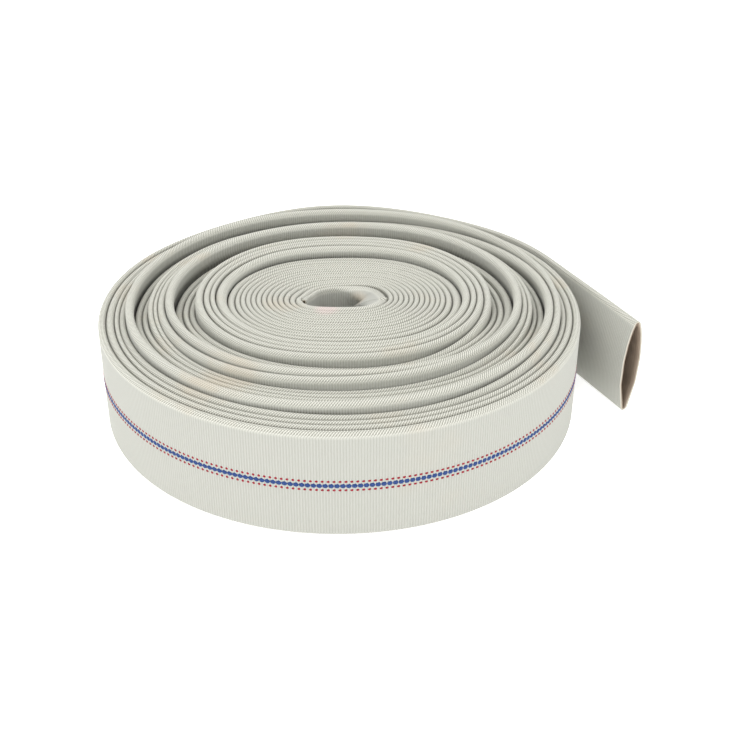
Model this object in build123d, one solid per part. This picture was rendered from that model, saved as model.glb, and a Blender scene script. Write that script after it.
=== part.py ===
from build123d import *
import os
from math import cos, pi, radians, sin

# Lay-flat delivery hose, 50 mm nominal bore and 20 m long, rolled up in one flat spiral that stands
# on its folded edges. The inner end starts at the eye of the roll, every turn runs clockwise going
# outwards as seen from above, and the outer end leaves the roll and opens into a lens-shaped mouth.
# The hose is a woven jacket over a rubber lining, with three coloured marker yarns along the middle
# of the outward face. Millimetres, +Z up, floor at z = 0, origin under the middle of the bounding box.

# Hose section, pressed flat
bore_diameter = 51.0        # inside diameter when the hose is round under pressure
jacket_wall = 1.1           # woven jacket
lining_wall = 0.7           # rubber lining
bore_gap = 0.1              # air left in the bore where the hose is pressed flat
edge_flat = 0.5             # narrow flat left along the middle of each folded edge

# Marker yarns on the outward face
marker_height = 0.2         # how far the yarns stand off the weave
marker_clearance = 0.03     # between yarn and weave where the mouth opens
blue_width = 3.3
red_width = 1.5
red_offset = 3.7            # from the middle of the blue yarn to the middle of each red one

# Spiral, measured along the X axis from the middle of the roll to the middle of the hose. A gap is
# the air between a turn's marker yarns and the next turn.
eye_half_width = 32.5
eye_squash = 12.5           # half length of the straight runs that make the core oval
start_angle = 150.0         # where the inner end lies, measured at the middle of the roll
core_turns, core_gap = 13.5, 0.17
band_turns, band_gap = 4, 2.3
valley_turns, valley_gap = 3, 1.3
middle_turns, middle_gap = 4, 1.3
groove_turns, groove_gap = 1.5, 1.5
outer_turns, outer_gap = 5, 1.9
leaving_gap = 12.1          # the last part turn swings clear of the roll

# Free outer end
leave_angle = 24.3          # where the hose leaves the roll, measured at the middle of the roll
tail_flat_length = 39.4
mouth_length = 80.0         # the stretch over which the flat hose opens
mouth_opening = 12.0        # how far each end of the bore stands open at the cut
mouth_rake = 2.9            # degrees by which the cut leans forwards at the top
mouth_steps = 8             # straight-sided stretches that the opening is made of

flat_width = pi * bore_diameter / 2 + 2 * (jacket_wall + lining_wall)
thickness = 2 * (jacket_wall + lining_wall) + bore_gap
edge_radius = (thickness - edge_flat) / 2
closest_pitch = thickness + marker_height

ZONES = [
    (core_turns, closest_pitch + core_gap),
    (band_turns, closest_pitch + band_gap),
    (valley_turns, closest_pitch + valley_gap),
    (middle_turns, closest_pitch + middle_gap),
    (groove_turns, closest_pitch + groove_gap),
    (outer_turns, closest_pitch + outer_gap),
    (1, closest_pitch + leaving_gap),
]
rolled_turns = round(sum(turns for turns, pitch in ZONES[:-1]))


def half_width(turn):
    """Distance from the middle of the roll to the hose on the X axis, after this many turns."""
    reach = eye_half_width
    for turns, pitch in ZONES:
        step = min(max(turn, 0), turns)
        reach += step * pitch
        turn -= step
    return reach


def squash(turn):
    """Half length of the straight runs: constant in the core, fading to none at the outer turns."""
    fade = (rolled_turns - turn) / (rolled_turns - core_turns)
    return eye_squash * min(max(fade, 0), 1)


def direction(angle):
    return Vector(cos(radians(angle)), sin(radians(angle)))


def heading(angle):
    """Way the hose runs where its outward face looks along this angle: clockwise."""
    return Vector(sin(radians(angle)), -cos(radians(angle)))


def spiral_pieces():
    """Half circles at the two ends of the oval and straight runs along its front and back.

    Each piece is ("arc", centre, radius, from angle, to angle) or ("run", start, end, angle).
    """
    pieces = []
    last_half = 2 * rolled_turns
    for half in range(last_half + 1):
        side = -1 if half % 2 == 0 else 1
        before, middle, after = (half / 2 + step for step in (-0.25, 0.0, 0.25))
        near = half_width(before) - squash(before)
        far = half_width(after) - squash(after)
        centre = Vector(side * squash(middle), side * (near - far) / 2)
        radius = (near + far) / 2
        begin = 270.0 if side < 0 else 90.0
        end = begin - 180.0
        if half == 0:
            begin = start_angle
        pieces.append(("arc", centre, radius, begin, end))
        joint = centre + direction(end) * radius
        following = Vector(-side * squash(middle + 0.5), joint.Y)
        if half < last_half and (following - joint).length > 0.01:
            pieces.append(("run", joint, following, end))
    last_joint = pieces[-1][1] + direction(90) * pieces[-1][2]
    reach = half_width(rolled_turns + 0.5)
    radius = (reach + last_joint.Y) / 2
    pieces.append(("arc", last_joint - direction(90) * radius, radius, 90.0, leave_angle))
    return pieces


def piece_length(piece):
    if piece[0] == "arc":
        return piece[2] * radians(piece[3] - piece[4])
    return (piece[2] - piece[1]).length


def piece_plane(piece):
    """Section plane at the start of a piece: x is outward, y is up."""
    if piece[0] == "arc":
        origin, angle = piece[1] + direction(piece[3]) * piece[2], piece[3]
    else:
        origin, angle = piece[1], piece[3]
    return Plane(origin=origin, x_dir=direction(angle), z_dir=heading(angle))


def side_reach(z, half, low, high, bulge):
    """How far outward a bulged side stands at this height: a flat arc from corner to corner."""
    if bulge < 0.001:
        return half
    middle, chord = (low + high) / 2, (high - low) / 2
    arc_radius = (chord**2 + bulge**2) / (2 * bulge)
    return half + bulge - arc_radius + (arc_radius**2 - (z - middle) ** 2) ** 0.5


def flattened(inset, radius, bulge):
    """Closed loop of the pressed hose, this far inside its outer face, as functions of a plane."""
    half = thickness / 2 - inset
    shrink = 8 / 3 * bulge**2 / flat_width
    low, high = inset, flat_width - inset - shrink

    def loop(plane):
        def at(x, y):
            return plane.from_local_coords(Vector(x, y))

        def side(x, start, end):
            if bulge < 0.001:
                return Edge.make_line(at(x, start), at(x, end))
            crown = side_reach((low + high) / 2, half, low + radius, high - radius, bulge)
            crown = crown if x > 0 else -crown
            return Edge.make_three_point_arc(at(x, start), at(crown, (low + high) / 2), at(x, end))

        def corner(x, y, begin):
            turn = [begin, begin + 45, begin + 90]
            points = [at(x + radius * cos(radians(a)), y + radius * sin(radians(a))) for a in turn]
            return Edge.make_three_point_arc(*points)

        edges = [side(half, low + radius, high - radius)]
        if radius:
            edges.append(corner(half - radius, high - radius, 0))
        edges.append(Edge.make_line(at(half - radius, high), at(radius - half, high)))
        if radius:
            edges.append(corner(radius - half, high - radius, 90))
        edges.append(side(-half, high - radius, low + radius))
        if radius:
            edges.append(corner(radius - half, low + radius, 180))
        edges.append(Edge.make_line(at(radius - half, low), at(half - radius, low)))
        if radius:
            edges.append(corner(half - radius, low + radius, 270))
        return Wire(edges)

    return loop


def marker(offset, width, bulge):
    """Closed loop of a marker yarn on the outward face, this far above or below its middle."""
    shrink = 8 / 3 * bulge**2 / flat_width
    low, high = edge_radius, flat_width - shrink - edge_radius
    middle = (flat_width - shrink) / 2 + offset
    heights = (middle - width / 2, middle + width / 2)
    half = thickness / 2 + min(bulge, marker_clearance)

    def loop(plane):
        foot = [(side_reach(z, half, low, high, bulge), z) for z in heights]
        crown = [(x + marker_height, z) for x, z in reversed(foot)]
        return Wire.make_polygon([plane.from_local_coords(Vector(*p)) for p in foot + crown])

    return loop


def jacket_face(bulge):
    return flattened(0, edge_radius, bulge)


def bond_line(bulge):
    """Where the lining is bonded to the jacket."""
    return flattened(jacket_wall, 0, bulge)


def bore_face(bulge):
    return flattened(jacket_wall + lining_wall, 0, bulge)


def blue_yarn(bulge):
    return marker(0, blue_width, bulge)


def upper_red_yarn(bulge):
    return marker(red_offset, red_width, bulge)


def lower_red_yarn(bulge):
    return marker(-red_offset, red_width, bulge)


def raked_plane(start, angle, distance, rake):
    """Section plane in the straight tail, leaning forwards by the rake."""
    origin = start + heading(angle) * distance
    upright = Plane(origin=origin, x_dir=direction(angle), z_dir=heading(angle))
    return upright.rotated((rake, 0, 0))


def carried(section, pieces):
    """Side faces of a closed loop carried along the whole hose, with its first and last loop.

    section(bulge) gives the loop for a hose that stands open by twice the bulge.
    """
    flat = section(0)
    first = flat(piece_plane(pieces[0]))
    faces = []
    for piece in pieces:
        start = flat(piece_plane(piece))
        if piece[0] == "arc":
            axis = Axis(origin=piece[1], direction=(0, 0, -1))
            faces += Shell.revolve(start, piece[3] - piece[4], axis).faces()
        else:
            faces += Shell.extrude(start, piece[2] - piece[1]).faces()
    start, end, angle = pieces[-1][1:]
    stations = []
    for step in range(mouth_steps + 1):
        share = step / mouth_steps
        eased = share * share * (3 - 2 * share)
        plane = raked_plane(end, angle, share * mouth_length, mouth_rake * share)
        stations.append(section(eased * mouth_opening / 2)(plane))
    faces += Shell.make_loft(stations, ruled=True).faces()
    return faces, first, stations[-1]


def hose_layer(outer, inner, pieces):
    """Solid between two loops carried along the hose, or inside one loop."""
    faces, first, last = carried(outer, pieces)
    inner_ends = ([], [])
    if inner:
        inner_faces, inner_first, inner_last = carried(inner, pieces)
        faces += inner_faces
        inner_ends = ([inner_first], [inner_last])
    faces += [Face(first, inner_ends[0]), Face(last, inner_ends[1])]
    return Solid(Shell(faces))


pieces = spiral_pieces()
leaving = pieces[-1]
tail_start = leaving[1] + direction(leave_angle) * leaving[2]
tail_end = tail_start + heading(leave_angle) * tail_flat_length
pieces.append(("run", tail_start, tail_end, leave_angle))

nodes = {
    "woven_jacket": hose_layer(jacket_face, bond_line, pieces),
    "rubber_lining": hose_layer(bond_line, bore_face, pieces),
    "blue_marker_yarn": hose_layer(blue_yarn, None, pieces),
    "red_marker_yarn_upper": hose_layer(upper_red_yarn, None, pieces),
    "red_marker_yarn_lower": hose_layer(lower_red_yarn, None, pieces),
}

box = Compound(list(nodes.values())).bounding_box()
to_origin = Pos(-box.center().X, -box.center().Y, 0)
length = sum(piece_length(piece) for piece in pieces) + mouth_length
print("hose length", round(length), "box", box.min, box.max)

os.makedirs("parts", exist_ok=True)
for name, solid in nodes.items():
    export_step(to_origin * solid, f"parts/{name}.step")
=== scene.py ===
import math

import bpy
import numpy as np
from bpy.props import FloatProperty, FloatVectorProperty, PointerProperty
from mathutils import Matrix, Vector


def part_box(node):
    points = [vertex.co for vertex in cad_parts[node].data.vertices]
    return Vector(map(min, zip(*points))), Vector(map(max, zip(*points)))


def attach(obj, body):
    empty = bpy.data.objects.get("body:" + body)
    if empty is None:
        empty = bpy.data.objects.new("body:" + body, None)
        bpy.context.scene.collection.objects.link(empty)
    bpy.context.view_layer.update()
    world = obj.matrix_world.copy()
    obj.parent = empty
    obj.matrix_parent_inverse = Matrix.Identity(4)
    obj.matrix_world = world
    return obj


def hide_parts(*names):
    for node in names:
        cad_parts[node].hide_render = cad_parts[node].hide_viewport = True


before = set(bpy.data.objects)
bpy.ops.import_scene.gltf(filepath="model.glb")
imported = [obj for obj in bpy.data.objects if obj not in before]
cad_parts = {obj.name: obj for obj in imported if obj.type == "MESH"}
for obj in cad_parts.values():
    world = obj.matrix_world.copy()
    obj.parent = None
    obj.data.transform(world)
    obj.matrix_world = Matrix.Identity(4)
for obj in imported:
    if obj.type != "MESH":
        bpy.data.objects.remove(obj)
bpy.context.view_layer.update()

bl_info = {
    "name": "Rolled Fire Hose",
    "version": (1, 0, 0),
    "blender": (4, 5, 0),
    "location": "View3D > Sidebar > Fire Hose",
    "description": "A lay-flat fire hose rolled up in one spiral, with its free end leaving the roll",
    "category": "Add Mesh",
}

JACKET_LOW, JACKET_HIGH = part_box("woven_jacket")
BLUE_LOW, BLUE_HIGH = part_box("blue_marker_yarn")
RED_LOW, RED_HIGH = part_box("red_marker_yarn_upper")

# The roll, in millimetres. The outward face lies this far from the middle of the roll on the X axis.
# Each zone is (turns, pitch): the tight core, then turns that are wide where a fold is puffed up.
FIRST_REACH = 34.3
ZONES = (
    (12, 4.1), (1, 6.2),
    (1, 8.9), (1, 3.8), (1, 5.4), (1, 6.7), (1, 5.1), (1, 4.6),
    (1, 5.9), (1, 7.1), (1, 5.9), (1, 3.3), (1, 4.4), (1, 4.1), (1, 6.0),
    (1, 6.9), (1, 4.7), (1, 4.1), (1, 6.1), (1, 6.0), (1, 12.0),
)
# Handled places at the eye, in millimetres from the middle of the roll: (name of the tint, place, reach).
MARKS = (("stain", (11.0, 11.0, 80.0), 12.0), ("blush", (-11.0, -26.0, 92.0), 13.0))
# How far a stretch of the hose stands above the floor: (from turn, to turn, lift).
LIFTS = (
    (13.75, 17.6, 9.5), (20.6, 21.8, 11.5), (21.8, 22.6, 7.0), (22.6, 24.2, 5.0), (26.4, 27.6, 9.0),
)
LIFT_EASE = 0.15
HIGHEST_LIFT = 12.2
# Lifts at the front of the roll only: (rises from turn, to, falls from, to, lift).
FRONT_LIFTS = ((17.6, 17.9, 20.3, 20.6, 3.6), (22.45, 22.7, 26.3, 26.5, 2.2), (27.6, 27.9, 28.1, 28.4, 2.0))
FRONT_DROP = (22.45, 22.75, 24.05, 24.35, 5.0)
CORE_LIFT, CORE_TILT, CORE_END = 4.6, 3.2, (13.6, 13.9)
# Turns between raised bands, whose folds lie lower but for the front: (from turn, to turn), and how much lower.
VALLEYS, VALLEY_DEPTH = ((17.7, 20.5), (24.3, 26.3)), 3.0
# Dips of the rim's upper fold: (dip, angle of its middle, reach in degrees), and the turns where they start and end.
RIM_DIPS = ((2.6, 132.0, 26.0), (1.6, 52.0, 20.0), (-2.0, 95.0, 18.0))
RIM_TURNS = (29.6, 30.3, 31.30, 31.42)
# Slow waves of the winding: (height, waves in a turn, phase).
WAVES = ((0.5, 1.37, 0.4), (0.35, 2.61, 1.9), (0.3, 3.83, 4.2), (0.2, 5.47, 2.7), (0.15, 8.21, 0.9))
# The core is drawn in where the inner end lies and pushed out at the back and the front: (by, angle, reach, turns).
CORE_SHIFTS = ((-7.0, 155.0, 45.0, 2.2), (6.0, 72.0, 40.0, 6.0), (6.0, -100.0, 45.0, 6.0))

FIRST_TURN, LAST_TURN = -0.06, 31.431
OUTER_TURN = 30.4325
EYE_SQUASH, SQUASH_TURNS = 12.5, (13.5, 31.0)
GAP = 0.12
FLAT_WIDTH, FREE_WIDTH, FIRST_WIDTH = 4.25, 4.3, 4.0
STEEP_APEX = 2.2
WALL, LINING = 1.1, 0.7
NO_NEIGHBOUR = -90.0
TAIL_FLAT, MOUTH_LENGTH, MOUTH_OPENING, MOUTH_RAKE = 39.4, 80.0, 12.6, 4.2
# How deep the feet of the beads and of the plain yarns lie in the weave.
BEAD_FOOT, STRIP_FOOT = 0.15, 0.2
# From the middle of the roll to its left side and to its front.
LEFT_REACH, FRONT_REACH = 188.84, 186.15


def smooth(x, low, high):
    """Goes from 0 at low to 1 at high with level ends."""
    t = np.clip((x - low) / (high - low), 0.0, 1.0)
    return t * t * (3.0 - 2.0 * t)


def hump(x, middle, reach):
    """1 at the middle, falling on both sides as a bell curve of that reach."""
    return np.exp(-(((x - middle) / reach) ** 2))


def between(x, start, risen, falling, end):
    """Rises from 0 at start to 1 at risen, and falls from 1 at falling to 0 at end."""
    return smooth(x, start, risen) * (1.0 - smooth(x, falling, end))


def winding_angle(turn):
    """Angle in radians at which the outward face looks after this many turns, clockwise from the left."""
    return np.pi - 2 * np.pi * turn


def face_reach(turn):
    """Distance of the outward face from the middle of the roll on the X axis: straight between the zones' ends."""
    turns = np.cumsum([0.0] + [z[0] for z in ZONES])
    reach = FIRST_REACH + np.cumsum([0.0] + [z[0] * z[1] for z in ZONES])
    inside = FIRST_REACH + turn * ZONES[0][1]
    return np.where(turn < 0, inside, np.interp(turn, turns, reach))


def oval(turn):
    """Half length of the oval's straight part, in mm: constant in the core and fading to none at the outer turns."""
    start, end = SQUASH_TURNS
    return EYE_SQUASH * np.clip((end - turn) / (end - start), 0.0, 1.0)


def wander(turn, amount):
    """Small unevenness of the winding, in mm: a sum of slow waves along the hose, none at its two ends."""
    waves = sum(high * np.sin(2 * np.pi * count * turn + phase) for high, count, phase in WAVES)
    return amount * waves * between(turn, 1.0, 13.0, 29.6, 30.2)


def face_path(turn, amount):
    """Points of the outward face's line seen from above, in mm from the middle of the roll.

    A half circle at each end of an oval, grown by the winding. Each of the core's shifts is a bell curve round the
    roll that fades along the first turns.
    """
    angle = winding_angle(turn)
    shift = np.zeros_like(turn)
    for by, middle, reach, turns in CORE_SHIFTS:
        away = (np.degrees(angle) - middle + 180.0) % 360.0 - 180.0
        shift += by * np.exp(-np.maximum(turn, 0.0) / turns) * hump(away, 0.0, reach)
    radius = face_reach(turn) + wander(turn, amount) - oval(turn) + shift
    x = oval(turn) * np.tanh(3.0 * np.cos(angle)) + radius * np.cos(angle)
    return np.stack([x, radius * np.sin(angle)], 1)


def lift_at(turn, unevenness):
    """How far the hose stands above the floor, in mm: raised bands, a core that rises to the front, and a ripple."""
    angle = winding_angle(turn)
    front = np.maximum(-np.sin(angle), 0.0)
    lift = np.zeros_like(turn)
    for start, stop, high in LIFTS:
        lift += high * between(turn, start - LIFT_EASE, start + LIFT_EASE, stop - LIFT_EASE, stop + LIFT_EASE)
    for *turns, high in FRONT_LIFTS:
        lift += high * front * between(turn, *turns)
    *turns, drop = FRONT_DROP
    lift -= drop * between(turn, *turns) * smooth(front, 0.1, 0.8)
    lift -= 1.6 * hump(turn, 26.80, 0.09)
    lift += (CORE_LIFT - CORE_TILT * np.sin(angle)) * (1 - smooth(turn, *CORE_END))
    ripple = 0.35 * np.sin(2 * np.pi * 1.73 * turn + 1.0) + 0.25 * np.sin(2 * np.pi * 4.61 * turn)
    lift += np.maximum(ripple, -0.4) * unevenness * (1.0 - smooth(turn, 30.0, 30.3))
    return np.clip(lift, 0.0, HIGHEST_LIFT)


def rim_sink(turn):
    """How far the upper fold lies lower than the hose is wide, in mm: in the valleys, and in the rim's dips."""
    angle = (np.degrees(winding_angle(turn)) + 360.0) % 360.0
    dips = sum(dip * hump(angle, middle, reach) for dip, middle, reach in RIM_DIPS)
    valleys = sum(VALLEY_DEPTH * between(turn, start, start + 0.3, stop - 0.3, stop) for start, stop in VALLEYS)
    behind = 1.0 - smooth(-np.sin(np.radians(angle)), -0.1, 0.6)
    return valleys * behind + dips * between(turn, *RIM_TURNS)


def eye_width(turn):
    """Thickness of the first turn, in mm.

    At the right end of the eye the hose doubles back: the fold lies over to a broad round top that leaves only a
    slit. At the front the fold lies over too.
    """
    broad = between(turn, 0.22, 0.42, 0.47, 0.72)
    slit = 1.0 - 0.97 * hump(turn, 0.512, 0.010)
    return FIRST_WIDTH + 34.0 * broad * slit + 8.0 * hump(turn, 0.79, 0.12)


class Winding:
    """Rows along the hose: place, way, outward direction, thickness, height and opening at every row."""

    def __init__(self, first, last, step, settings, tail=False):
        fine = np.linspace(FIRST_TURN, LAST_TURN, 40000)
        line = face_path(fine, settings.unevenness)
        run = np.concatenate([[0.0], np.cumsum(np.linalg.norm(np.diff(line, axis=0), axis=1))])
        begin, end = np.interp([first, last], fine, run)
        count = int(math.ceil((end - begin) / step)) + 1
        s = np.linspace(begin, end, count)
        turn = np.interp(s, run, fine)
        nudge = 1e-4
        here = face_path(turn, settings.unevenness)
        ahead = face_path(turn + nudge, settings.unevenness) - face_path(turn - nudge, settings.unevenness)
        way = ahead / np.linalg.norm(ahead, axis=1)[:, None]
        normal = np.stack([-way[:, 1], way[:, 0]], 1)
        inner = face_path(turn - 1.0, settings.unevenness)
        width = np.sum((here - inner) * normal, axis=1) - GAP
        width = np.where(turn < 1.0, eye_width(turn), width)
        width = np.where(turn > 31.0, width + (FREE_WIDTH - width) * smooth(turn, 31.0, 31.2), width)
        lift, sink = lift_at(turn, settings.unevenness), rim_sink(turn)
        beyond = np.where(turn < OUTER_TURN, lift_at(turn + 1.0, settings.unevenness), NO_NEIGHBOUR)
        within = np.where((turn > 1.0) & (turn < 31.2), lift_at(turn - 1.0, settings.unevenness), NO_NEIGHBOUR)
        self.mouth_from = 1e9
        if tail:
            length = TAIL_FLAT + MOUTH_LENGTH
            extra = int(math.ceil(length / step))
            t = np.linspace(0.0, length, extra + 1)[1:]
            end_way, end_normal = way[-1], normal[-1]
            here = np.concatenate([here, here[-1] + t[:, None] * end_way])
            way = np.concatenate([way, np.repeat(end_way[None], extra, 0)])
            normal = np.concatenate([normal, np.repeat(end_normal[None], extra, 0)])
            width = np.concatenate([width, np.full(extra, width[-1])])
            lift, sink = (np.concatenate([v, np.zeros(extra)]) for v in (lift, sink))
            beyond, within = (np.concatenate([v, np.full(extra, NO_NEIGHBOUR)]) for v in (beyond, within))
            turn = np.concatenate([turn, np.full(extra, turn[-1])])
            self.mouth_from = s[-1] + TAIL_FLAT
            s = np.concatenate([s, s[-1] + t])
        self.s, self.turn, self.here, self.way, self.normal = s, turn, here, way, normal
        self.width = width
        self.base = np.minimum(width, FLAT_WIDTH)
        steep = np.minimum(width / 2, STEEP_APEX)
        self.apex = steep + (width / 2 - steep) * smooth(turn, 0.62, 0.76)
        self.lift, self.sink, self.beyond, self.within = lift, sink, beyond, within
        self.share = smooth(s, self.mouth_from, self.mouth_from + MOUTH_LENGTH)

    def flat(self):
        """The same winding without the puffed folds, for what lies inside the jacket."""
        self.sink = self.sink + 0.35 * (self.width - self.base)
        self.width, self.apex = self.base, self.base / 2
        return self

    def part(self, rows):
        """The same winding with only these rows."""
        out = object.__new__(Winding)
        for k, v in self.__dict__.items():
            setattr(out, k, v[rows] if isinstance(v, np.ndarray) else v)
        return out


def ring_stations(cap_points):
    """Stations round the hose from the middle of the lower fold, as (kind, value).

    A side's value is its share of the height, and a fold's its angle.
    """
    side = (0.0, 0.3, 0.58, 0.76, 0.87, 0.94, 1.0)
    caps = [math.pi * k / cap_points for k in range(1, cap_points)]
    low = [("low", -math.pi / 2), ("low", -math.pi / 4)]
    sides = [("out", v) for v in side] + [("top", a) for a in caps] + [("in", v) for v in reversed(side)]
    return low + sides + [("low", -3 * math.pi / 4)]


def ring_girth(ring):
    """Length along each closed ring of points (rows, points, 2) from its first point."""
    steps = np.linalg.norm(np.diff(ring, axis=1), axis=2)
    return np.concatenate([np.zeros((len(ring), 1)), np.cumsum(steps, axis=1)], 1)


def jacket_height():
    """Width of the flat hose, in mm: the height of the standing roll."""
    return (JACKET_HIGH.z - JACKET_LOW.z) * 1000.0


def hose_surface(w, inset, cap_points=8, relief=0.0, rib_pitch=1.0):
    """Grid of points (rows, stations, 3) in mm, the girth at each point from the top of the fold, and the painted seam
    shade.

    The section is a pressed tube: two flat sides and two rounded folds. Towards the top it widens until it
    meets the turn inside it. In the mouth both sides bow out in a flat arc and the cut leans forwards.
    inset is how far inside the outer surface the grid lies; relief is the height of the weft ribs.
    """
    high = jacket_height()
    bow = MOUTH_OPENING / 2 * w.share
    shrink = 8.0 / 3.0 * bow**2 / high + 0.12 * (w.width - w.base)
    top, low = high + w.lift - w.sink - shrink / 2 - inset, w.lift + shrink / 2 + inset
    ribs = relief * np.cos(2 * np.pi * w.s / rib_pitch)
    half_low = w.base / 2 - inset + ribs
    half_top = w.width / 2 - inset + ribs
    cap_top, cap_low = 1.2 * half_top, 1.1 * half_low
    middle_low, middle_top = -w.base / 2, -w.apex
    outer_top, inner_top = w.apex - inset + ribs, w.width - w.apex - inset + ribs
    x, z, seam = [], [], []
    for kind, value in ring_stations(cap_points):
        if kind in ("out", "in"):
            height = low + cap_low + (top - cap_top - low - cap_low) * value
        elif kind == "top":
            height = top - cap_top + (cap_top + ribs) * math.sin(value)
        else:
            height = low + cap_low + (cap_low + ribs) * math.sin(value)
        grow = smooth(height, top - 19.0, top - 5.0)
        turn_x = {"out": 1.0, "in": -1.0}.get(kind, math.cos(value))
        half = half_low + ((outer_top if turn_x > 0 else inner_top) - half_low) * grow
        middle = middle_low + (middle_top - middle_low) * grow
        q = np.clip((height - (low + top) / 2) / ((top - low) / 2), -1.0, 1.0)
        half = half + bow * (1.0 - q * q) ** 0.8
        x.append(middle + half * turn_x)
        z.append(height)
        neighbour = w.beyond if turn_x > 0 else w.within
        # Painted shade: darker where the neighbouring turn stands higher, in the crevice between turns, and over a turn
        # that lies lower than its neighbours.
        deep = smooth(high + neighbour - height, 0.4, 2.6) * smooth(abs(turn_x), 0.5, 0.97)
        sunk = 0.22 * smooth(np.maximum(w.beyond, w.within) - w.lift + w.sink, 3.0, 11.0)
        seam.append(np.maximum(deep, sunk))
    x, z, seam = np.stack(x, 1), np.stack(z, 1), np.stack(seam, 1)
    lean = MOUTH_RAKE * (w.share**1.5)[:, None] * (z / high)
    flat = w.here[:, None, :] + w.normal[:, None, :] * x[:, :, None] + w.way[:, None, :] * lean[:, :, None]
    ring = np.stack([np.concatenate([x, x[:, :1]], 1), np.concatenate([z, z[:, :1]], 1)], 2)
    girth = ring_girth(ring)
    summit = 9 + (cap_points - 1) // 2
    girth = girth - girth[:, summit : summit + 1]
    return np.concatenate([flat, z[:, :, None]], 2), girth, seam


def to_frame(points):
    """Millimetres from the middle of the roll to metres in the row frame: its left side meets the CAD box."""
    left = JACKET_LOW.x * 1000.0 + LEFT_REACH
    front = JACKET_LOW.y * 1000.0 + FRONT_REACH
    return (points + np.array([left, front, 0.0])) * 0.001


def add_mesh(name, points, quads, uvs, marks=None):
    """A mesh object from numpy arrays.

    points (n, 3) are in metres, quads (m, 4), UV maps {name: (m, 4, 2)} and point values {name: (n,)}.
    """
    mesh = bpy.data.meshes.new(name)
    mesh.vertices.add(len(points))
    mesh.vertices.foreach_set("co", np.ascontiguousarray(points, np.float32).ravel())
    mesh.loops.add(quads.size)
    mesh.loops.foreach_set("vertex_index", quads.astype(np.int32).ravel())
    mesh.polygons.add(len(quads))
    mesh.polygons.foreach_set("loop_start", np.arange(0, quads.size, 4, dtype=np.int32))
    mesh.polygons.foreach_set("use_smooth", np.full(len(quads), True))
    for key, values in uvs.items():
        layer = mesh.uv_layers.new(name=key)
        layer.uv.foreach_set("vector", np.ascontiguousarray(values, np.float32).ravel())
    for key, values in (marks or {}).items():
        attribute = mesh.attributes.new(key, "FLOAT", "POINT")
        attribute.data.foreach_set("value", np.ascontiguousarray(values, np.float32).ravel())
    mesh.update(calc_edges=True)
    mesh.validate()
    obj = bpy.data.objects.new(name, mesh)
    bpy.context.scene.collection.objects.link(obj)
    return obj


def packed_rows(s, across, rows):
    """UVs of a long strip, cut into rows that lie one above the other and fill the square. across runs 0 to 1."""
    count = len(s) - 1
    share = (s - s[0]) / (s[-1] - s[0]) * rows
    row = np.minimum(np.floor((share[:-1] + share[1:]) / 2), rows - 1)
    u0, u1 = share[:-1] - row, share[1:] - row
    v0, v1 = across[:-1], across[1:]
    shape = (count, len(across) - 1)
    u = [np.broadcast_to(a[:, None], shape) for a in (u0, u1)]
    margin = 0.06
    v = [(row[:, None] + margin + (1 - 2 * margin) * a[None, :]) / rows for a in (v0, v1)]
    return np.clip(u[0], 0.001, 0.999), np.clip(u[1], 0.001, 0.999), v[0], v[1]


def tube_arrays(points, girth, s, rows, outward=True):
    """Quads and UV maps of a closed ring of stations carried along rows."""
    n, k = points.shape[:2]
    i = np.arange(n - 1)[:, None]
    a = np.arange(k)[None, :]
    b = (a + 1) % k
    corners = [(i * k + a), (i * k + b), ((i + 1) * k + b), ((i + 1) * k + a)]
    quads = np.stack([np.broadcast_to(c, (n - 1, k)) for c in corners], 2)
    g = girth * 0.001
    sm = s * 0.001
    along = [np.broadcast_to(v[:, None], (n - 1, k)) for v in (sm[:-1], sm[1:])]
    weave = np.stack([
        np.stack([along[0], g[:-1, :-1]], 2), np.stack([along[0], g[:-1, 1:]], 2),
        np.stack([along[1], g[1:, 1:]], 2), np.stack([along[1], g[1:, :-1]], 2)], 2)
    across = girth.mean(0)
    across = (across - across[0]) / (across[-1] - across[0])
    u0, u1, v0, v1 = packed_rows(s, across, rows)
    bake = np.stack([np.stack(pair, 2) for pair in ((u0, v0), (u0, v1), (u1, v1), (u1, v0))], 2)
    quads, weave, bake = quads.reshape(-1, 4), weave.reshape(-1, 4, 2), bake.reshape(-1, 4, 2)
    if not outward:
        quads, weave, bake = quads[:, ::-1], weave[:, ::-1], bake[:, ::-1]
    return quads, {"weave": weave, "OFBake": bake}


class Wire:
    """A socket in a shader tree. Sums, products and the like of wires and numbers add Math nodes."""

    def __init__(self, tree, socket):
        self.tree, self.socket = tree, socket

    def math(self, operation, *others, flip=False):
        values = [self, *others]
        if flip:
            values = values[::-1]
        node = self.tree.nodes.new("ShaderNodeMath")
        node.operation = operation
        for k, v in enumerate(values):
            feed(self.tree, node.inputs[k], v)
        return Wire(self.tree, node.outputs[0])

    def __add__(self, o): return self.math("ADD", o)
    def __radd__(self, o): return self.math("ADD", o)
    def __sub__(self, o): return self.math("SUBTRACT", o)
    def __rsub__(self, o): return self.math("SUBTRACT", o, flip=True)
    def __mul__(self, o): return self.math("MULTIPLY", o)
    def __rmul__(self, o): return self.math("MULTIPLY", o)
    def __truediv__(self, o): return self.math("DIVIDE", o)
    def cos(self): return self.math("COSINE")
    def abs(self): return self.math("ABSOLUTE")
    def floor(self): return self.math("FLOOR")


def feed(tree, target, value):
    """Links a wire to a socket, or sets the socket to a number."""
    if isinstance(value, Wire):
        tree.links.new(value.socket, target)
    else:
        target.default_value = value


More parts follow.
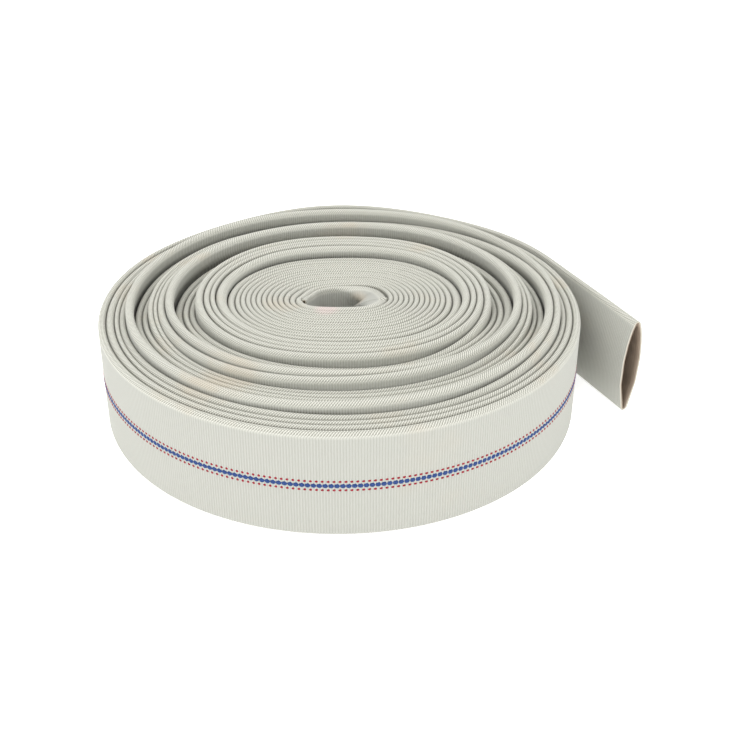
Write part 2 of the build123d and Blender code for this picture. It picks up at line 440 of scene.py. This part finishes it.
def make_node(tree, kind, settings=None, inputs=None):
    """Adds any node: its settings first, then the values or wires of its sockets, by name or number."""
    node = tree.nodes.new(kind)
    for key, value in (settings or {}).items():
        if key == "stops":
            ramp = node.color_ramp
            while len(ramp.elements) < len(value):
                ramp.elements.new(0.5)
            for element, (place, shade) in zip(ramp.elements, value):
                element.position, element.color = place, (*shade, 1.0)
        else:
            setattr(node, key, value)
    for key, value in (inputs or {}).items():
        if isinstance(key, str) and key.startswith("i"):
            feed(tree, node.inputs[int(key[1:])], value)
        else:
            feed(tree, node.inputs[key.replace("_", " ")], value)
    return node


def out(tree, node, name=0):
    return Wire(tree, node.outputs[name])


def blend_colour(tree, factor, first, second, mode="MIX"):
    """Mixes two colours by a wire or number. A colour is a wire or three numbers."""
    node = tree.nodes.new("ShaderNodeMix")
    node.data_type, node.blend_type = "RGBA", mode
    feed(tree, node.inputs[0], factor)
    for socket, value in ((node.inputs[6], first), (node.inputs[7], second)):
        feed(tree, socket, value if isinstance(value, Wire) else (*value, 1.0))
    return Wire(tree, node.outputs[2])


def new_material(name):
    """A material with an empty tree but for its output and Principled node."""
    material = bpy.data.materials.new(name)
    material.use_nodes = True
    tree = material.node_tree
    tree.nodes.clear()
    output = tree.nodes.new("ShaderNodeOutputMaterial")
    shader = tree.nodes.new("ShaderNodeBsdfPrincipled")
    tree.links.new(shader.outputs[0], output.inputs[0])
    return material, tree, shader


def linear(colour):
    """Screen colour from 0 to 1 as linear light."""
    return tuple(c / 12.92 if c <= 0.04045 else ((c + 0.055) / 1.055) ** 2.4 for c in colour[:3])


def ramp_between(tree, value, low, high):
    """0 below low and 1 above high, with level ends."""
    settings, inputs = {"interpolation_type": "SMOOTHSTEP"}, {"i0": value, "i1": low, "i2": high}
    return out(tree, make_node(tree, "ShaderNodeMapRange", settings, inputs))


def object_noise(tree, place, scale, detail, roughness):
    """Noise on Object coordinates, from 0 to 1. place is the Texture Coordinate node."""
    inputs = {"Vector": out(tree, place, "Object"), "Scale": scale, "Detail": detail, "Roughness": roughness}
    return out(tree, make_node(tree, "ShaderNodeTexNoise", None, inputs))


def weave_position(tree):
    """Millimetres along the hose, and round it from the top of the fold."""
    uv = make_node(tree, "ShaderNodeUVMap", {"uv_map": "weave"})
    parts = make_node(tree, "ShaderNodeSeparateXYZ", None, {"i0": out(tree, uv)})
    return out(tree, parts, 0) * 1000.0, out(tree, parts, 1) * 1000.0


def add_bump(tree, shader, strength, distance, height):
    bump = make_node(tree, "ShaderNodeBump", None, {"Strength": strength, "Distance": distance, "Height": height})
    feed(tree, shader.inputs["Normal"], out(tree, bump))


def jacket_material(settings, name, ribs_in_bump=1.0):
    """Woven polyester.

    On the flat sides the weft stands up as fine ribs across the hose, each crossed by short warp floats. Over the
    folds the same yarns close up into slanting strokes with dark points between them. Soft patches tint the cloth.
    """
    material, tree, shader = new_material(name)
    s, g = weave_position(tree)
    rib = settings.rib_pitch * 1000.0
    a, b = s / rib, g / (rib / 2)
    crest = (a * (2 * math.pi)).cos() * 0.5 + 0.5
    step = (a + 0.5).floor() * 0.5
    float_ = ((b + step) * (2 * math.pi)).cos() * 0.5 + 0.5
    plain = crest * (0.55 + float_ * 0.45)
    slant = ((a + g / 2.6) * (2 * math.pi)).cos() * 0.5 + 0.5
    cross = ((a - g / 3.4) * (2 * math.pi)).cos() * 0.5 + 0.5
    twill = slant * (0.4 + cross * 0.6)
    fold = 1.0 - ramp_between(tree, g.abs(), 3.5, 7.0)
    height = plain * ribs_in_bump + (twill - plain * ribs_in_bump) * fold
    tone = plain + (twill - plain) * fold
    place = make_node(tree, "ShaderNodeTexCoord")
    stain = ramp_between(tree, object_noise(tree, place, 14.0, 3.0, 0.55), 0.56, 0.72)
    fuzz = object_noise(tree, place, 900.0, 2.0, 0.6)
    light, dark = linear(settings.cloth), linear(settings.cloth_shade)
    # Painted light: the folds on top of each turn get a lighter colour than the flat sides, standing in for light from
    # above.
    cloth = blend_colour(tree, fold, light, linear(settings.cloth_fold_painted_light))
    colour = blend_colour(tree, (1.0 - tone) * (0.7 + fold * 0.02), cloth, dark)
    points = ramp_between(tree, (1.0 - twill) * fold, 0.72, 1.0)
    colour = blend_colour(tree, points * 0.6, colour, linear(settings.cloth_gap))
    colour = blend_colour(tree, stain * (0.12 + fold * 0.3), colour, linear(settings.stain))
    for tint, spot, reach in MARKS:
        ends = {"i0": out(tree, place, "Object"), "i1": tuple(to_frame(np.array(spot)))}
        away = make_node(tree, "ShaderNodeVectorMath", {"operation": "DISTANCE"}, ends)
        near = 1.0 - ramp_between(tree, Wire(tree, away.outputs[1]), reach * 0.0003, reach * 0.001)
        colour = blend_colour(tree, near * 0.5, colour, linear(getattr(settings, tint)))
    # Painted shade in the crevices between turns and on recessed turns, dotted along the weft ribs.
    seam = out(tree, make_node(tree, "ShaderNodeAttribute", {"attribute_name": "seam"}), 2)
    seam_shade_dots = crest * -0.55 + 0.9
    colour = blend_colour(tree, seam * seam_shade_dots, colour, linear(settings.seam_shade))
    cut = make_node(tree, "ShaderNodeAttribute", {"attribute_name": "cut"})
    colour = blend_colour(tree, out(tree, cut, 2), colour, linear(settings.cut_edge))
    colour = blend_colour(tree, fuzz * 0.10, colour, linear(settings.cloth_gap))
    feed(tree, shader.inputs["Base Color"], colour)
    feed(tree, shader.inputs["Roughness"], 0.82 - tone * 0.12)
    shader.inputs["Specular IOR Level"].default_value = 0.25
    shader.inputs["Sheen Weight"].default_value = 0.12
    shader.inputs["Sheen Roughness"].default_value = 0.5
    add_bump(tree, shader, 0.75, 0.00045, height + fuzz * 0.25)
    return material


def yarn_material(settings, name, colour):
    """Dyed marker yarn: slanting filaments along each bead, darker between them."""
    material, tree, shader = new_material(name)
    place = make_node(tree, "ShaderNodeTexCoord")
    grain = object_noise(tree, place, 1500.0, 3.0, 0.6)
    shade = linear(colour)
    dark, light = tuple(c * 0.6 for c in shade), tuple(min(1.0, c * 1.25 + 0.01) for c in shade)
    tint = blend_colour(tree, ramp_between(tree, grain, 0.3, 0.75), dark, light)
    feed(tree, shader.inputs["Base Color"], tint)
    feed(tree, shader.inputs["Roughness"], 0.75 - grain * 0.2)
    shader.inputs["Specular IOR Level"].default_value = 0.3
    add_bump(tree, shader, 0.5, 0.0002, grain)
    return material


def lining_material(settings):
    """Rubber lining: matt taupe with the imprint of the weave and a faint mottling."""
    material, tree, shader = new_material("lining_rubber")
    s, g = weave_position(tree)
    print_ = ((s * (2 * math.pi / 2.3)).cos() + (g * (2 * math.pi / 1.6)).cos()) * 0.25 + 0.5
    place = make_node(tree, "ShaderNodeTexCoord")
    grain = object_noise(tree, place, 120.0, 4.0, 0.6)
    shade = linear(settings.rubber)
    dark, light = tuple(c * 0.72 for c in shade), tuple(c * 1.2 for c in shade)
    tint = blend_colour(tree, ramp_between(tree, grain * 0.7 + print_ * 0.3, 0.3, 0.7), dark, light)
    feed(tree, shader.inputs["Base Color"], tint)
    feed(tree, shader.inputs["Roughness"], 0.62 + grain * 0.2)
    shader.inputs["Specular IOR Level"].default_value = 0.35
    add_bump(tree, shader, 0.4, 0.0003, print_ * 0.7 + grain * 0.3)
    return material


def end_rings(surface, inner, flip):
    """Quads between the end ring of an outer grid and that of an inner grid, given by their first vertex numbers."""
    k = np.arange(surface[1])
    n = (k + 1) % surface[1]
    quads = np.stack([surface[0] + k, surface[0] + n, inner + n, inner + k], 1)
    return quads[:, ::-1] if flip else quads


def layered_tube(name, w, outer_inset, inner_inset, rows, cap_points=8, relief=0.0, rib_pitch=1.0,
                 start_turn_in=0, end_turn_in=0, whole_inside=False):
    """A hose layer: its outer grid, and where it is cut the rim of the wall and the wall's inside.

    The inside is turned in by so many rows. The value cut marks it, but for a layer that is seen from inside.
    """
    outer, girth, seam = hose_surface(w, outer_inset, cap_points, relief, rib_pitch)
    n, k = outer.shape[:2]
    quads, uvs = tube_arrays(outer, girth, w.s, rows)
    points, cut, painted_seam_shades = [outer.reshape(-1, 3)], [np.zeros(n * k)], [seam.ravel()]
    all_quads, weave, bake = [quads], [uvs["weave"]], [uvs["OFBake"]]
    ends = [(w.part(slice(n - end_turn_in, n)), True)] if end_turn_in else []
    ends += [(w.part(slice(0, start_turn_in)), False)] if start_turn_in else []
    base = n * k
    t = np.arange(k)
    for part, at_end in ends:
        inner, inner_girth, _ = hose_surface(part, inner_inset, cap_points)
        m = len(inner)
        q, u = tube_arrays(inner, inner_girth, part.s, 1, outward=False)
        raised = 0.0 if at_end or rows == 1 else 1.0 / rows
        inner_bake = u["OFBake"] * np.array([1.0, 0.04 / rows]) + np.array([0.0, 0.955 / rows + raised])
        rim = end_rings(((n - 1) * k if at_end else 0, k), base + ((m - 1) * k if at_end else 0), flip=not at_end)
        row = -1 if at_end else 0
        edge_g, edge_s = girth[row] * 0.001, w.s[row] * 0.001
        span = 0.002 + 0.996 * (edge_g - edge_g[0]) / (edge_g[-1] - edge_g[0])
        near, far = np.full(k, edge_s), np.full(k, edge_s + 0.001)
        low, high = np.full(k, 0.01 / rows), np.full(k, 0.03 / rows)
        rim_uv = np.stack([np.stack(pair, 1) for pair in (
            (near, edge_g[t]), (near, edge_g[t + 1]), (far, edge_g[t + 1]), (far, edge_g[t]))], 1)
        rim_bake = np.stack([np.stack(pair, 1) for pair in (
            (span[t], low), (span[t + 1], low), (span[t + 1], high), (span[t], high))], 1)
        if not at_end:
            rim_uv, rim_bake = rim_uv[:, ::-1], rim_bake[:, ::-1]
        points.append(inner.reshape(-1, 3))
        painted_seam_shades.append(np.zeros(m * k))
        cut.append(np.zeros(m * k) if whole_inside else np.ones(m * k))
        all_quads.extend([q + base, rim])
        weave.extend([u["weave"], rim_uv])
        bake.extend([inner_bake, rim_bake])
        base += m * k
    uvs = {"weave": np.concatenate(weave), "OFBake": np.concatenate(bake)}
    marks = {"cut": np.concatenate(cut), "seam": np.concatenate(painted_seam_shades)}
    return add_mesh(name, to_frame(np.concatenate(points)), np.concatenate(all_quads), uvs, marks)


def beads(name, w, pitch, shift, z_offset, half_length, half_height, stand, around=8, along=6):
    """A row of small cushions on the outward face.

    Each is half an ellipsoid given by longitude and latitude, with its foot just under the weave.
    """
    high = jacket_height()
    at = np.arange(w.s[0] + pitch * (0.5 + shift), w.s[-1] - max(half_length, 2.0), pitch)
    bow = MOUTH_OPENING / 2 * np.interp(at, w.s, w.share)
    here = np.stack([np.interp(at, w.s, w.here[:, j]) for j in (0, 1)], 1)
    way = np.stack([np.interp(at, w.s, w.way[:, j]) for j in (0, 1)], 1)
    way /= np.linalg.norm(way, axis=1)[:, None]
    normal = np.stack([-way[:, 1], way[:, 0]], 1)
    lean = MOUTH_RAKE * np.interp(at, w.s, w.share) ** 1.5
    lon = np.linspace(0.0, 2 * np.pi, around, endpoint=False)
    lat = np.linspace(0.0, np.pi / 2, along)
    ring = np.cos(lat)[:, None] ** 0.8
    ex, ez = ring * np.cos(lon)[None, :] * half_length, ring * np.sin(lon)[None, :] * half_height
    en = np.broadcast_to(np.sin(lat)[:, None] * (stand + BEAD_FOOT) - BEAD_FOOT, ex.shape)
    ex, ez, en = ex.ravel(), ez.ravel(), en.ravel()
    z = high / 2 + z_offset + ez[None, :] * np.ones((len(at), 1))
    along_x = ex[None, :] + lean[:, None] * z / high
    out_n = bow[:, None] + en[None, :]
    xy = here[:, None, :] + way[:, None, :] * along_x[:, :, None] + normal[:, None, :] * out_n[:, :, None]
    points = np.concatenate([xy, z[:, :, None]], 2)
    i = np.arange(along - 1)[:, None] * around
    j = np.arange(around)[None, :]
    n = (j + 1) % around
    local = np.stack([i + j, i + around + j, i + around + n, i + n], 2).reshape(-1, 4)
    quads = (local[None] + (np.arange(len(at)) * along * around)[:, None, None]).reshape(-1, 4)
    points = to_frame(points.reshape(-1, 3))
    rows = max(1, int(math.sqrt(len(at))))
    columns = int(math.ceil(len(at) / rows))
    cell = np.stack([np.arange(len(at)) % columns, np.arange(len(at)) // columns], 1)
    disc = [0.5 + 0.45 * f(lon)[None, :] * np.cos(lat)[:, None] for f in (np.cos, np.sin)]
    local_uv = np.stack(disc, 2).reshape(-1, 2)
    uv = (cell[:, None, :] + local_uv[None]) / np.array([columns, rows + 1])
    uv = uv.reshape(-1, 2)[quads]
    return add_mesh(name, points, quads, {"OFBake": uv})


def strip(name, w, low, high_z, stand, rows):
    """A thin flat yarn on the outward face, along the rows of the winding: a low box section without its back."""
    x = np.stack([np.full(len(w.s), v) for v in (-STRIP_FOOT, stand, stand, -STRIP_FOOT)], 1)
    z = np.stack([np.full(len(w.s), v) for v in (low, low, high_z, high_z)], 1)
    bow = (MOUTH_OPENING / 2 * w.share)[:, None]
    high = jacket_height()
    lean = MOUTH_RAKE * (w.share**1.5)[:, None] * z / high
    lift = w.lift[:, None]
    xy = w.here[:, None, :] + w.normal[:, None, :] * (x + bow)[:, :, None] + w.way[:, None, :] * lean[:, :, None]
    points = np.concatenate([xy, (z + lift)[:, :, None]], 2)
    ring = np.stack([np.concatenate([x, x[:, :1]], 1), np.concatenate([z, z[:, :1]], 1)], 2)
    girth = ring_girth(ring)
    quads, uvs = tube_arrays(points, girth, w.s, rows)
    return add_mesh(name, to_frame(points.reshape(-1, 3)), quads, uvs)


# Stretches of the jacket inside the roll: (piece, from turn, to turn, step between rows in mm, rows of its UV map).
JACKET_SPANS = (
    ("jacket_eye", FIRST_TURN, 1.2, 0.8, 3),
    ("jacket_core", 1.2, 12.6, 3.2, 12),
    ("jacket_inner_bands", 12.6, 20.4, 3.6, 12),
    ("jacket_outer_bands", 20.4, 26.2, 3.8, 12),
    ("jacket_rim", 26.2, OUTER_TURN, 3.8, 12),
)


def finished(obj, material, node_slot, *nodes):
    """Gives a piece its material and its body, and hides the CAD nodes that it stands for. Its slot, node_slot, is not
    used.
    """
    obj.data.materials.append(material)
    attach(obj, "root")
    if nodes:
        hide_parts(*nodes)
    return obj


class HoseSettings(bpy.types.PropertyGroup):
    unevenness: FloatProperty(
        name="Unevenness", description="How unevenly the turns lie in the roll",
        default=0.45, min=0.0, max=1.0, subtype="FACTOR")
    rib_pitch: FloatProperty(
        name="Rib pitch", description="Distance between the weft ribs",
        default=0.0020, unit="LENGTH")
    rib_height: FloatProperty(
        name="Rib height", description="How far the ribs of the outermost turn stand up",
        default=0.00012, unit="LENGTH")
    bead_pitch: FloatProperty(
        name="Bead pitch", description="Distance between the beads of the blue yarn",
        default=0.00397, unit="LENGTH")
    cloth: FloatVectorProperty(
        name="Cloth", description="Colour of the raised yarns",
        default=(0.765, 0.768, 0.742), subtype="COLOR_GAMMA")
    # Painted light: the lighter colour given to the folds on top of the turns, standing in for light from above.
    cloth_fold_painted_light: FloatVectorProperty(
        name="Cloth on the folds", description="Colour of the raised yarns over the folds",
        default=(0.93, 0.928, 0.888), subtype="COLOR_GAMMA")
    cloth_shade: FloatVectorProperty(
        name="Cloth shade", description="Colour between the raised yarns",
        default=(0.66, 0.66, 0.62), subtype="COLOR_GAMMA")
    cloth_gap: FloatVectorProperty(
        name="Cloth gap", description="Colour of the points between the folded yarns",
        default=(0.40, 0.395, 0.34), subtype="COLOR_GAMMA")
    seam_shade: FloatVectorProperty(
        name="Seam shade", description="Colour deep in the seam between two turns",
        default=(0.30, 0.295, 0.25), subtype="COLOR_GAMMA")
    stain: FloatVectorProperty(
        name="Handling marks", description="Tint of the handled places",
        default=(0.79, 0.73, 0.64), subtype="COLOR_GAMMA")
    blush: FloatVectorProperty(
        name="Blush", description="Pale tint that other cloth left at the front of the eye",
        default=(0.88, 0.79, 0.78), subtype="COLOR_GAMMA")
    cut_edge: FloatVectorProperty(
        name="Cut edge", description="Colour of the cut end",
        default=(0.83, 0.79, 0.71), subtype="COLOR_GAMMA")
    blue: FloatVectorProperty(
        name="Blue yarn", description="Colour of the middle marker yarn",
        default=(0.13, 0.26, 0.50), subtype="COLOR_GAMMA")
    red: FloatVectorProperty(
        name="Red yarn", description="Colour of the outer marker yarns",
        default=(0.60, 0.10, 0.17), subtype="COLOR_GAMMA")
    rubber: FloatVectorProperty(
        name="Rubber", description="Colour of the lining",
        default=(0.56, 0.50, 0.44), subtype="COLOR_GAMMA")


class StageSettings(bpy.types.PropertyGroup):
    camera_distance: FloatProperty(
        name="Camera distance", description="How far in front of the roll the camera stands",
        default=0.841, unit="LENGTH")
    camera_height: FloatProperty(
        name="Camera height", description="How far above the floor the camera stands",
        default=0.5195, unit="LENGTH")
    camera_pitch: FloatProperty(
        name="Camera pitch", description="How far the camera looks down",
        default=math.radians(30.485), subtype="ANGLE")
    lens: FloatProperty(name="Lens", description="Focal length on a 36 mm sensor", default=59.18)
    surround: FloatProperty(name="Surround", description="Strength of the even light all round", default=1.0)
    key: FloatProperty(name="Key light", description="Power of the large soft light above", default=15.0)
    floor_glow: FloatProperty(
        name="Floor glow", description="Light that the pale floor gives off by itself",
        default=0.55)


class HOSE_OT_camera(bpy.types.Operator):
    """Adds the camera in front of the roll, looking down on it"""
    bl_idname = "hose.camera"
    bl_label = "Add camera"

    def execute(self, context):
        stage = context.scene.hose_stage
        data = bpy.data.cameras.new("camera")
        data.lens, data.sensor_width = stage.lens, 36.0
        camera = bpy.data.objects.new("camera", data)
        context.scene.collection.objects.link(camera)
        camera.location = (-0.0006, -stage.camera_distance, stage.camera_height)
        camera.rotation_euler = (math.pi / 2 - stage.camera_pitch, 0.0, math.radians(0.149))
        context.scene.camera = camera
        return {"FINISHED"}


class HOSE_OT_jacket(bpy.types.Operator):
    """Adds the woven jacket: the core, the bands round it, the rim, and the outermost turn with the free end"""
    bl_idname = "hose.jacket"
    bl_label = "Add woven jacket"

    def execute(self, context):
        settings = context.scene.hose
        rib = settings.rib_pitch * 1000.0
        woven = jacket_material(settings, "woven_jacket")
        outer_woven = jacket_material(settings, "woven_jacket_outer", ribs_in_bump=0.45)
        for name, first, last, step, rows in JACKET_SPANS:
            w = Winding(first, last, step, settings)
            turned = 4 if first == FIRST_TURN else 0
            obj = layered_tube(name, w, 0.0, WALL, rows, start_turn_in=turned)
            finished(obj, woven, "jacket_weave", "woven_jacket")
        w = Winding(OUTER_TURN, LAST_TURN, rib / 4, settings, tail=True)
        relief = settings.rib_height * 1000.0
        obj = layered_tube("jacket_outer_turn", w, 0.0, WALL, 4, cap_points=10, relief=relief, rib_pitch=rib,
                           end_turn_in=110)
        finished(obj, outer_woven, "jacket_weave", "woven_jacket")
        return {"FINISHED"}


class HOSE_OT_lining(bpy.types.Operator):
    """Adds the rubber lining inside the whole hose"""
    bl_idname = "hose.lining"
    bl_label = "Add rubber lining"

    def execute(self, context):
        settings = context.scene.hose
        rubber = lining_material(settings)
        w = Winding(FIRST_TURN + 0.02, OUTER_TURN, 7.0, settings).flat()
        roll = layered_tube("lining_roll", w, WALL, WALL + LINING, 24, start_turn_in=len(w.s), whole_inside=True)
        finished(roll, rubber, "lining_rubber", "rubber_lining")
        w = Winding(OUTER_TURN, LAST_TURN, 4.0, settings, tail=True).flat()
        end = layered_tube("lining_outer_turn", w, WALL, WALL + LINING, 4, end_turn_in=len(w.s), whole_inside=True)
        finished(end, rubber, "lining_rubber", "rubber_lining")
        return {"FINISHED"}


class HOSE_OT_markers(bpy.types.Operator):
    """Adds the blue beads and red dashes of the marker yarns, and the plain yarns inside the roll"""
    bl_idname = "hose.markers"
    bl_label = "Add marker yarns"

    def execute(self, context):
        settings = context.scene.hose
        blue = yarn_material(settings, "blue_yarn", settings.blue)
        red = yarn_material(settings, "red_yarn", settings.red)
        w = Winding(OUTER_TURN, LAST_TURN, 2.3, settings, tail=True)
        pitch = settings.bead_pitch * 1000.0
        half = (BLUE_HIGH.z - BLUE_LOW.z) * 500.0
        red_half = (RED_HIGH.z - RED_LOW.z) * 500.0
        high = jacket_height()
        offset = (RED_HIGH.z + RED_LOW.z) * 500.0 - high / 2
        row = beads("blue_beads", w, pitch, 0.0, 0.0, 2.05, half, 0.45, 12, 5)
        finished(row, blue, "blue_yarn", "blue_marker_yarn")
        row = beads("red_dashes_upper", w, pitch, 0.5, offset, 1.2, red_half, 0.40, 8, 4)
        finished(row, red, "red_yarn", "red_marker_yarn_upper")
        row = beads("red_dashes_lower", w, pitch, 0.5, -offset, 1.2, red_half, 0.40, 8, 4)
        finished(row, red, "red_yarn", "red_marker_yarn_lower")
        inner = Winding(FIRST_TURN, OUTER_TURN, 14.0, settings)
        yarn = strip("blue_inside", inner, high / 2 - half, high / 2 + half, 0.05, 24)
        finished(yarn, blue, "blue_yarn", "blue_marker_yarn")
        middle = high / 2 + offset
        yarn = strip("red_inside_upper", inner, middle - red_half, middle + red_half, 0.05, 24)
        finished(yarn, red, "red_yarn", "red_marker_yarn_upper")
        middle = high / 2 - offset
        yarn = strip("red_inside_lower", inner, middle - red_half, middle + red_half, 0.05, 24)
        finished(yarn, red, "red_yarn", "red_marker_yarn_lower")
        return {"FINISHED"}


class HOSE_OT_stage(bpy.types.Operator):
    """Adds the pale floor, the even surround and the soft lights"""
    bl_idname = "hose.stage"
    bl_label = "Add stage"

    def execute(self, context):
        stage = context.scene.hose_stage
        scene = context.scene
        scene.view_settings.view_transform = "Standard"
        scene.view_settings.look = "None"
        world = bpy.data.worlds.new("surround")
        scene.world = world
        world.use_nodes = True
        world.node_tree.nodes["Background"].inputs[0].default_value = (1.0, 1.0, 1.0, 1.0)
        world.node_tree.nodes["Background"].inputs[1].default_value = stage.surround
        material, tree, shader = new_material("floor")
        shader.inputs["Base Color"].default_value = (0.95, 0.95, 0.95, 1.0)
        shader.inputs["Roughness"].default_value = 0.9
        shader.inputs["Specular IOR Level"].default_value = 0.1
        shader.inputs["Emission Color"].default_value = (1.0, 1.0, 1.0, 1.0)
        shader.inputs["Emission Strength"].default_value = stage.floor_glow
        mesh = bpy.data.meshes.new("floor")
        r = 30.0
        mesh.from_pydata([(-r, -r, -0.0003), (r, -r, -0.0003), (r, r, -0.0003), (-r, r, -0.0003)], [], [(0, 1, 2, 3)])
        floor = bpy.data.objects.new("floor", mesh)
        floor.data.materials.append(material)
        scene.collection.objects.link(floor)
        for name, place, size, power in (
            ("key", (-0.5, -0.3, 1.8), 1.6, stage.key),
            ("fill", (1.2, -1.2, 1.2), 1.6, stage.key * 0.25),
        ):
            data = bpy.data.lights.new(name, "AREA")
            data.shape, data.size, data.energy = "SQUARE", size, power
            light = bpy.data.objects.new(name, data)
            light.location = place
            light.rotation_mode = "QUATERNION"
            light.rotation_quaternion = (-Vector(place)).to_track_quat("-Z", "Y")
            scene.collection.objects.link(light)
        return {"FINISHED"}


class HOSE_PT_panel(bpy.types.Panel):
    """Lists the hose's pieces and their sizes"""
    bl_idname = "HOSE_PT_panel"
    bl_label = "Fire hose"
    bl_space_type = "VIEW_3D"
    bl_region_type = "UI"
    bl_category = "Fire Hose"

    def draw(self, context):
        layout = self.layout
        for group in (context.scene.hose, context.scene.hose_stage):
            for key in group.__annotations__:
                layout.prop(group, key)
        for operator in OPERATORS:
            layout.operator(operator.bl_idname)


OPERATORS = (HOSE_OT_camera, HOSE_OT_jacket, HOSE_OT_lining, HOSE_OT_markers, HOSE_OT_stage)
CLASSES = (HoseSettings, StageSettings, *OPERATORS, HOSE_PT_panel)


def register():
    for cls in CLASSES:
        bpy.utils.register_class(cls)
    bpy.types.Scene.hose = PointerProperty(type=HoseSettings)
    bpy.types.Scene.hose_stage = PointerProperty(type=StageSettings)


def unregister():
    del bpy.types.Scene.hose_stage
    del bpy.types.Scene.hose
    for cls in reversed(CLASSES):
        bpy.utils.unregister_class(cls)


def main():
    register()
    bpy.ops.hose.camera()
    bpy.ops.hose.jacket()
    bpy.ops.hose.lining()
    bpy.ops.hose.markers()
    bpy.ops.hose.stage()


if __name__ == "__main__":
    main()
